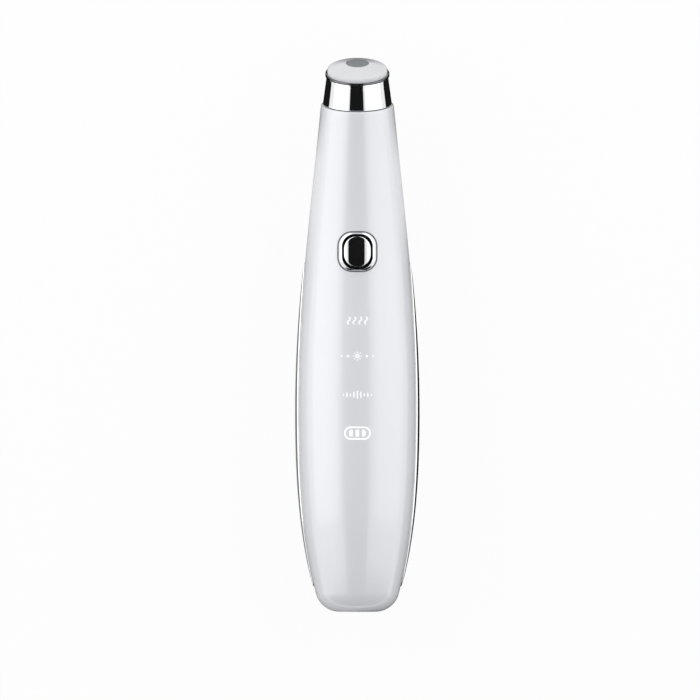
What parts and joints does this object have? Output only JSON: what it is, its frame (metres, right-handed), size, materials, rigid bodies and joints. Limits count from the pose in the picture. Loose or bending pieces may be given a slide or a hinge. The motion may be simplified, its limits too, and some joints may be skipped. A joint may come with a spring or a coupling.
{
  "type": "heated eye massager wand",
  "caption": "Slim hand-held wand with a warm metal tip in a translucent light ring, a plated collar, a crowned push button and two bowed side trims.",
  "frame": {"origin": "middle of the footprint, on the surface that the wand lies on", "axes": "+Z out of the button side, +Y along the wand towards the massage head, +X across the wand"},
  "size_m": [0.0328, 0.1444, 0.0287],
  "materials": {
    "shell": "pearl white, high gloss",
    "trim": "plated, bright",
    "collar": "plated, bright",
    "button_plating": "plated, bright",
    "diffuser": "milky, satin",
    "contact": "satin",
    "ceramic_heater": "matt",
    "carrier": "moulded",
    "silicone": "matt",
    "circuit_board": "solder mask",
    "chip": "moulded",
    "capacitor": "matt",
    "led": "clear resin",
    "black_plastic": "moulded",
    "steel": "drawn",
    "cell_wrap": "thin film over the metal can",
    "foam": "open cell",
    "lead_red": "insulation",
    "lead_black": "insulation"
  },
  "bodies": {
    "housing": {"front_shell": "shell", "rear_shell": "shell", "side_trim_right": "trim", "side_trim_left": "trim", "head_collar": "collar", "head_rim": "collar", "light_ring": "diffuser", "heat_contact": "contact", "heater_disc": "ceramic_heater", "thermistor": "black_plastic", "head_carrier": "carrier", "head_seal": "silicone", "head_led_board": "circuit_board", "head_leds": "led", "button_bezel": "button_plating", "switch_body": "chip", "main_board": "circuit_board", "controller_chip": "chip", "charge_chip": "chip", "board_capacitors": "capacitor", "indicator_leds": "led", "light_baffle": "black_plastic", "board_screws": "steel", "charging_socket": "steel", "socket_tongue": "black_plastic", "battery_cell": "cell_wrap", "battery_cap": "steel", "battery_pad": "foam", "battery_leads": "lead_red", "motor_case": "steel", "motor_sleeve": "silicone", "motor_leads": "lead_red", "heater_leads": "lead_red", "led_leads": "lead_black"},
    "button": {"button_cap": "button_plating"},
    "switch_stem": {"switch_plunger": "black_plastic"},
    "rotor": {"motor_shaft": "steel", "eccentric_weight": "steel"}
  },
  "joints": [
    {"name": "button_press", "type": "slide", "parent": "housing", "child": "button", "axis": [0, 0, -1], "range_m": [0, 0.0004], "stiffness_N_per_m": 800, "springref_m": -0.0005},
    {"name": "switch_press", "type": "slide", "parent": "housing", "child": "switch_stem", "axis": [0, 0, -1], "range_m": [0, 0.0004]},
    {"name": "rotor_spin", "type": "hinge", "parent": "housing", "child": "rotor", "pos_m": [0, 0.03973, 0.01526], "axis": [0, 0.9911, 0.133], "continuous": true}
  ],
  "couplings": [
    {"joint": "switch_press", "follows": "button_press", "ratio": 1}
  ]
}
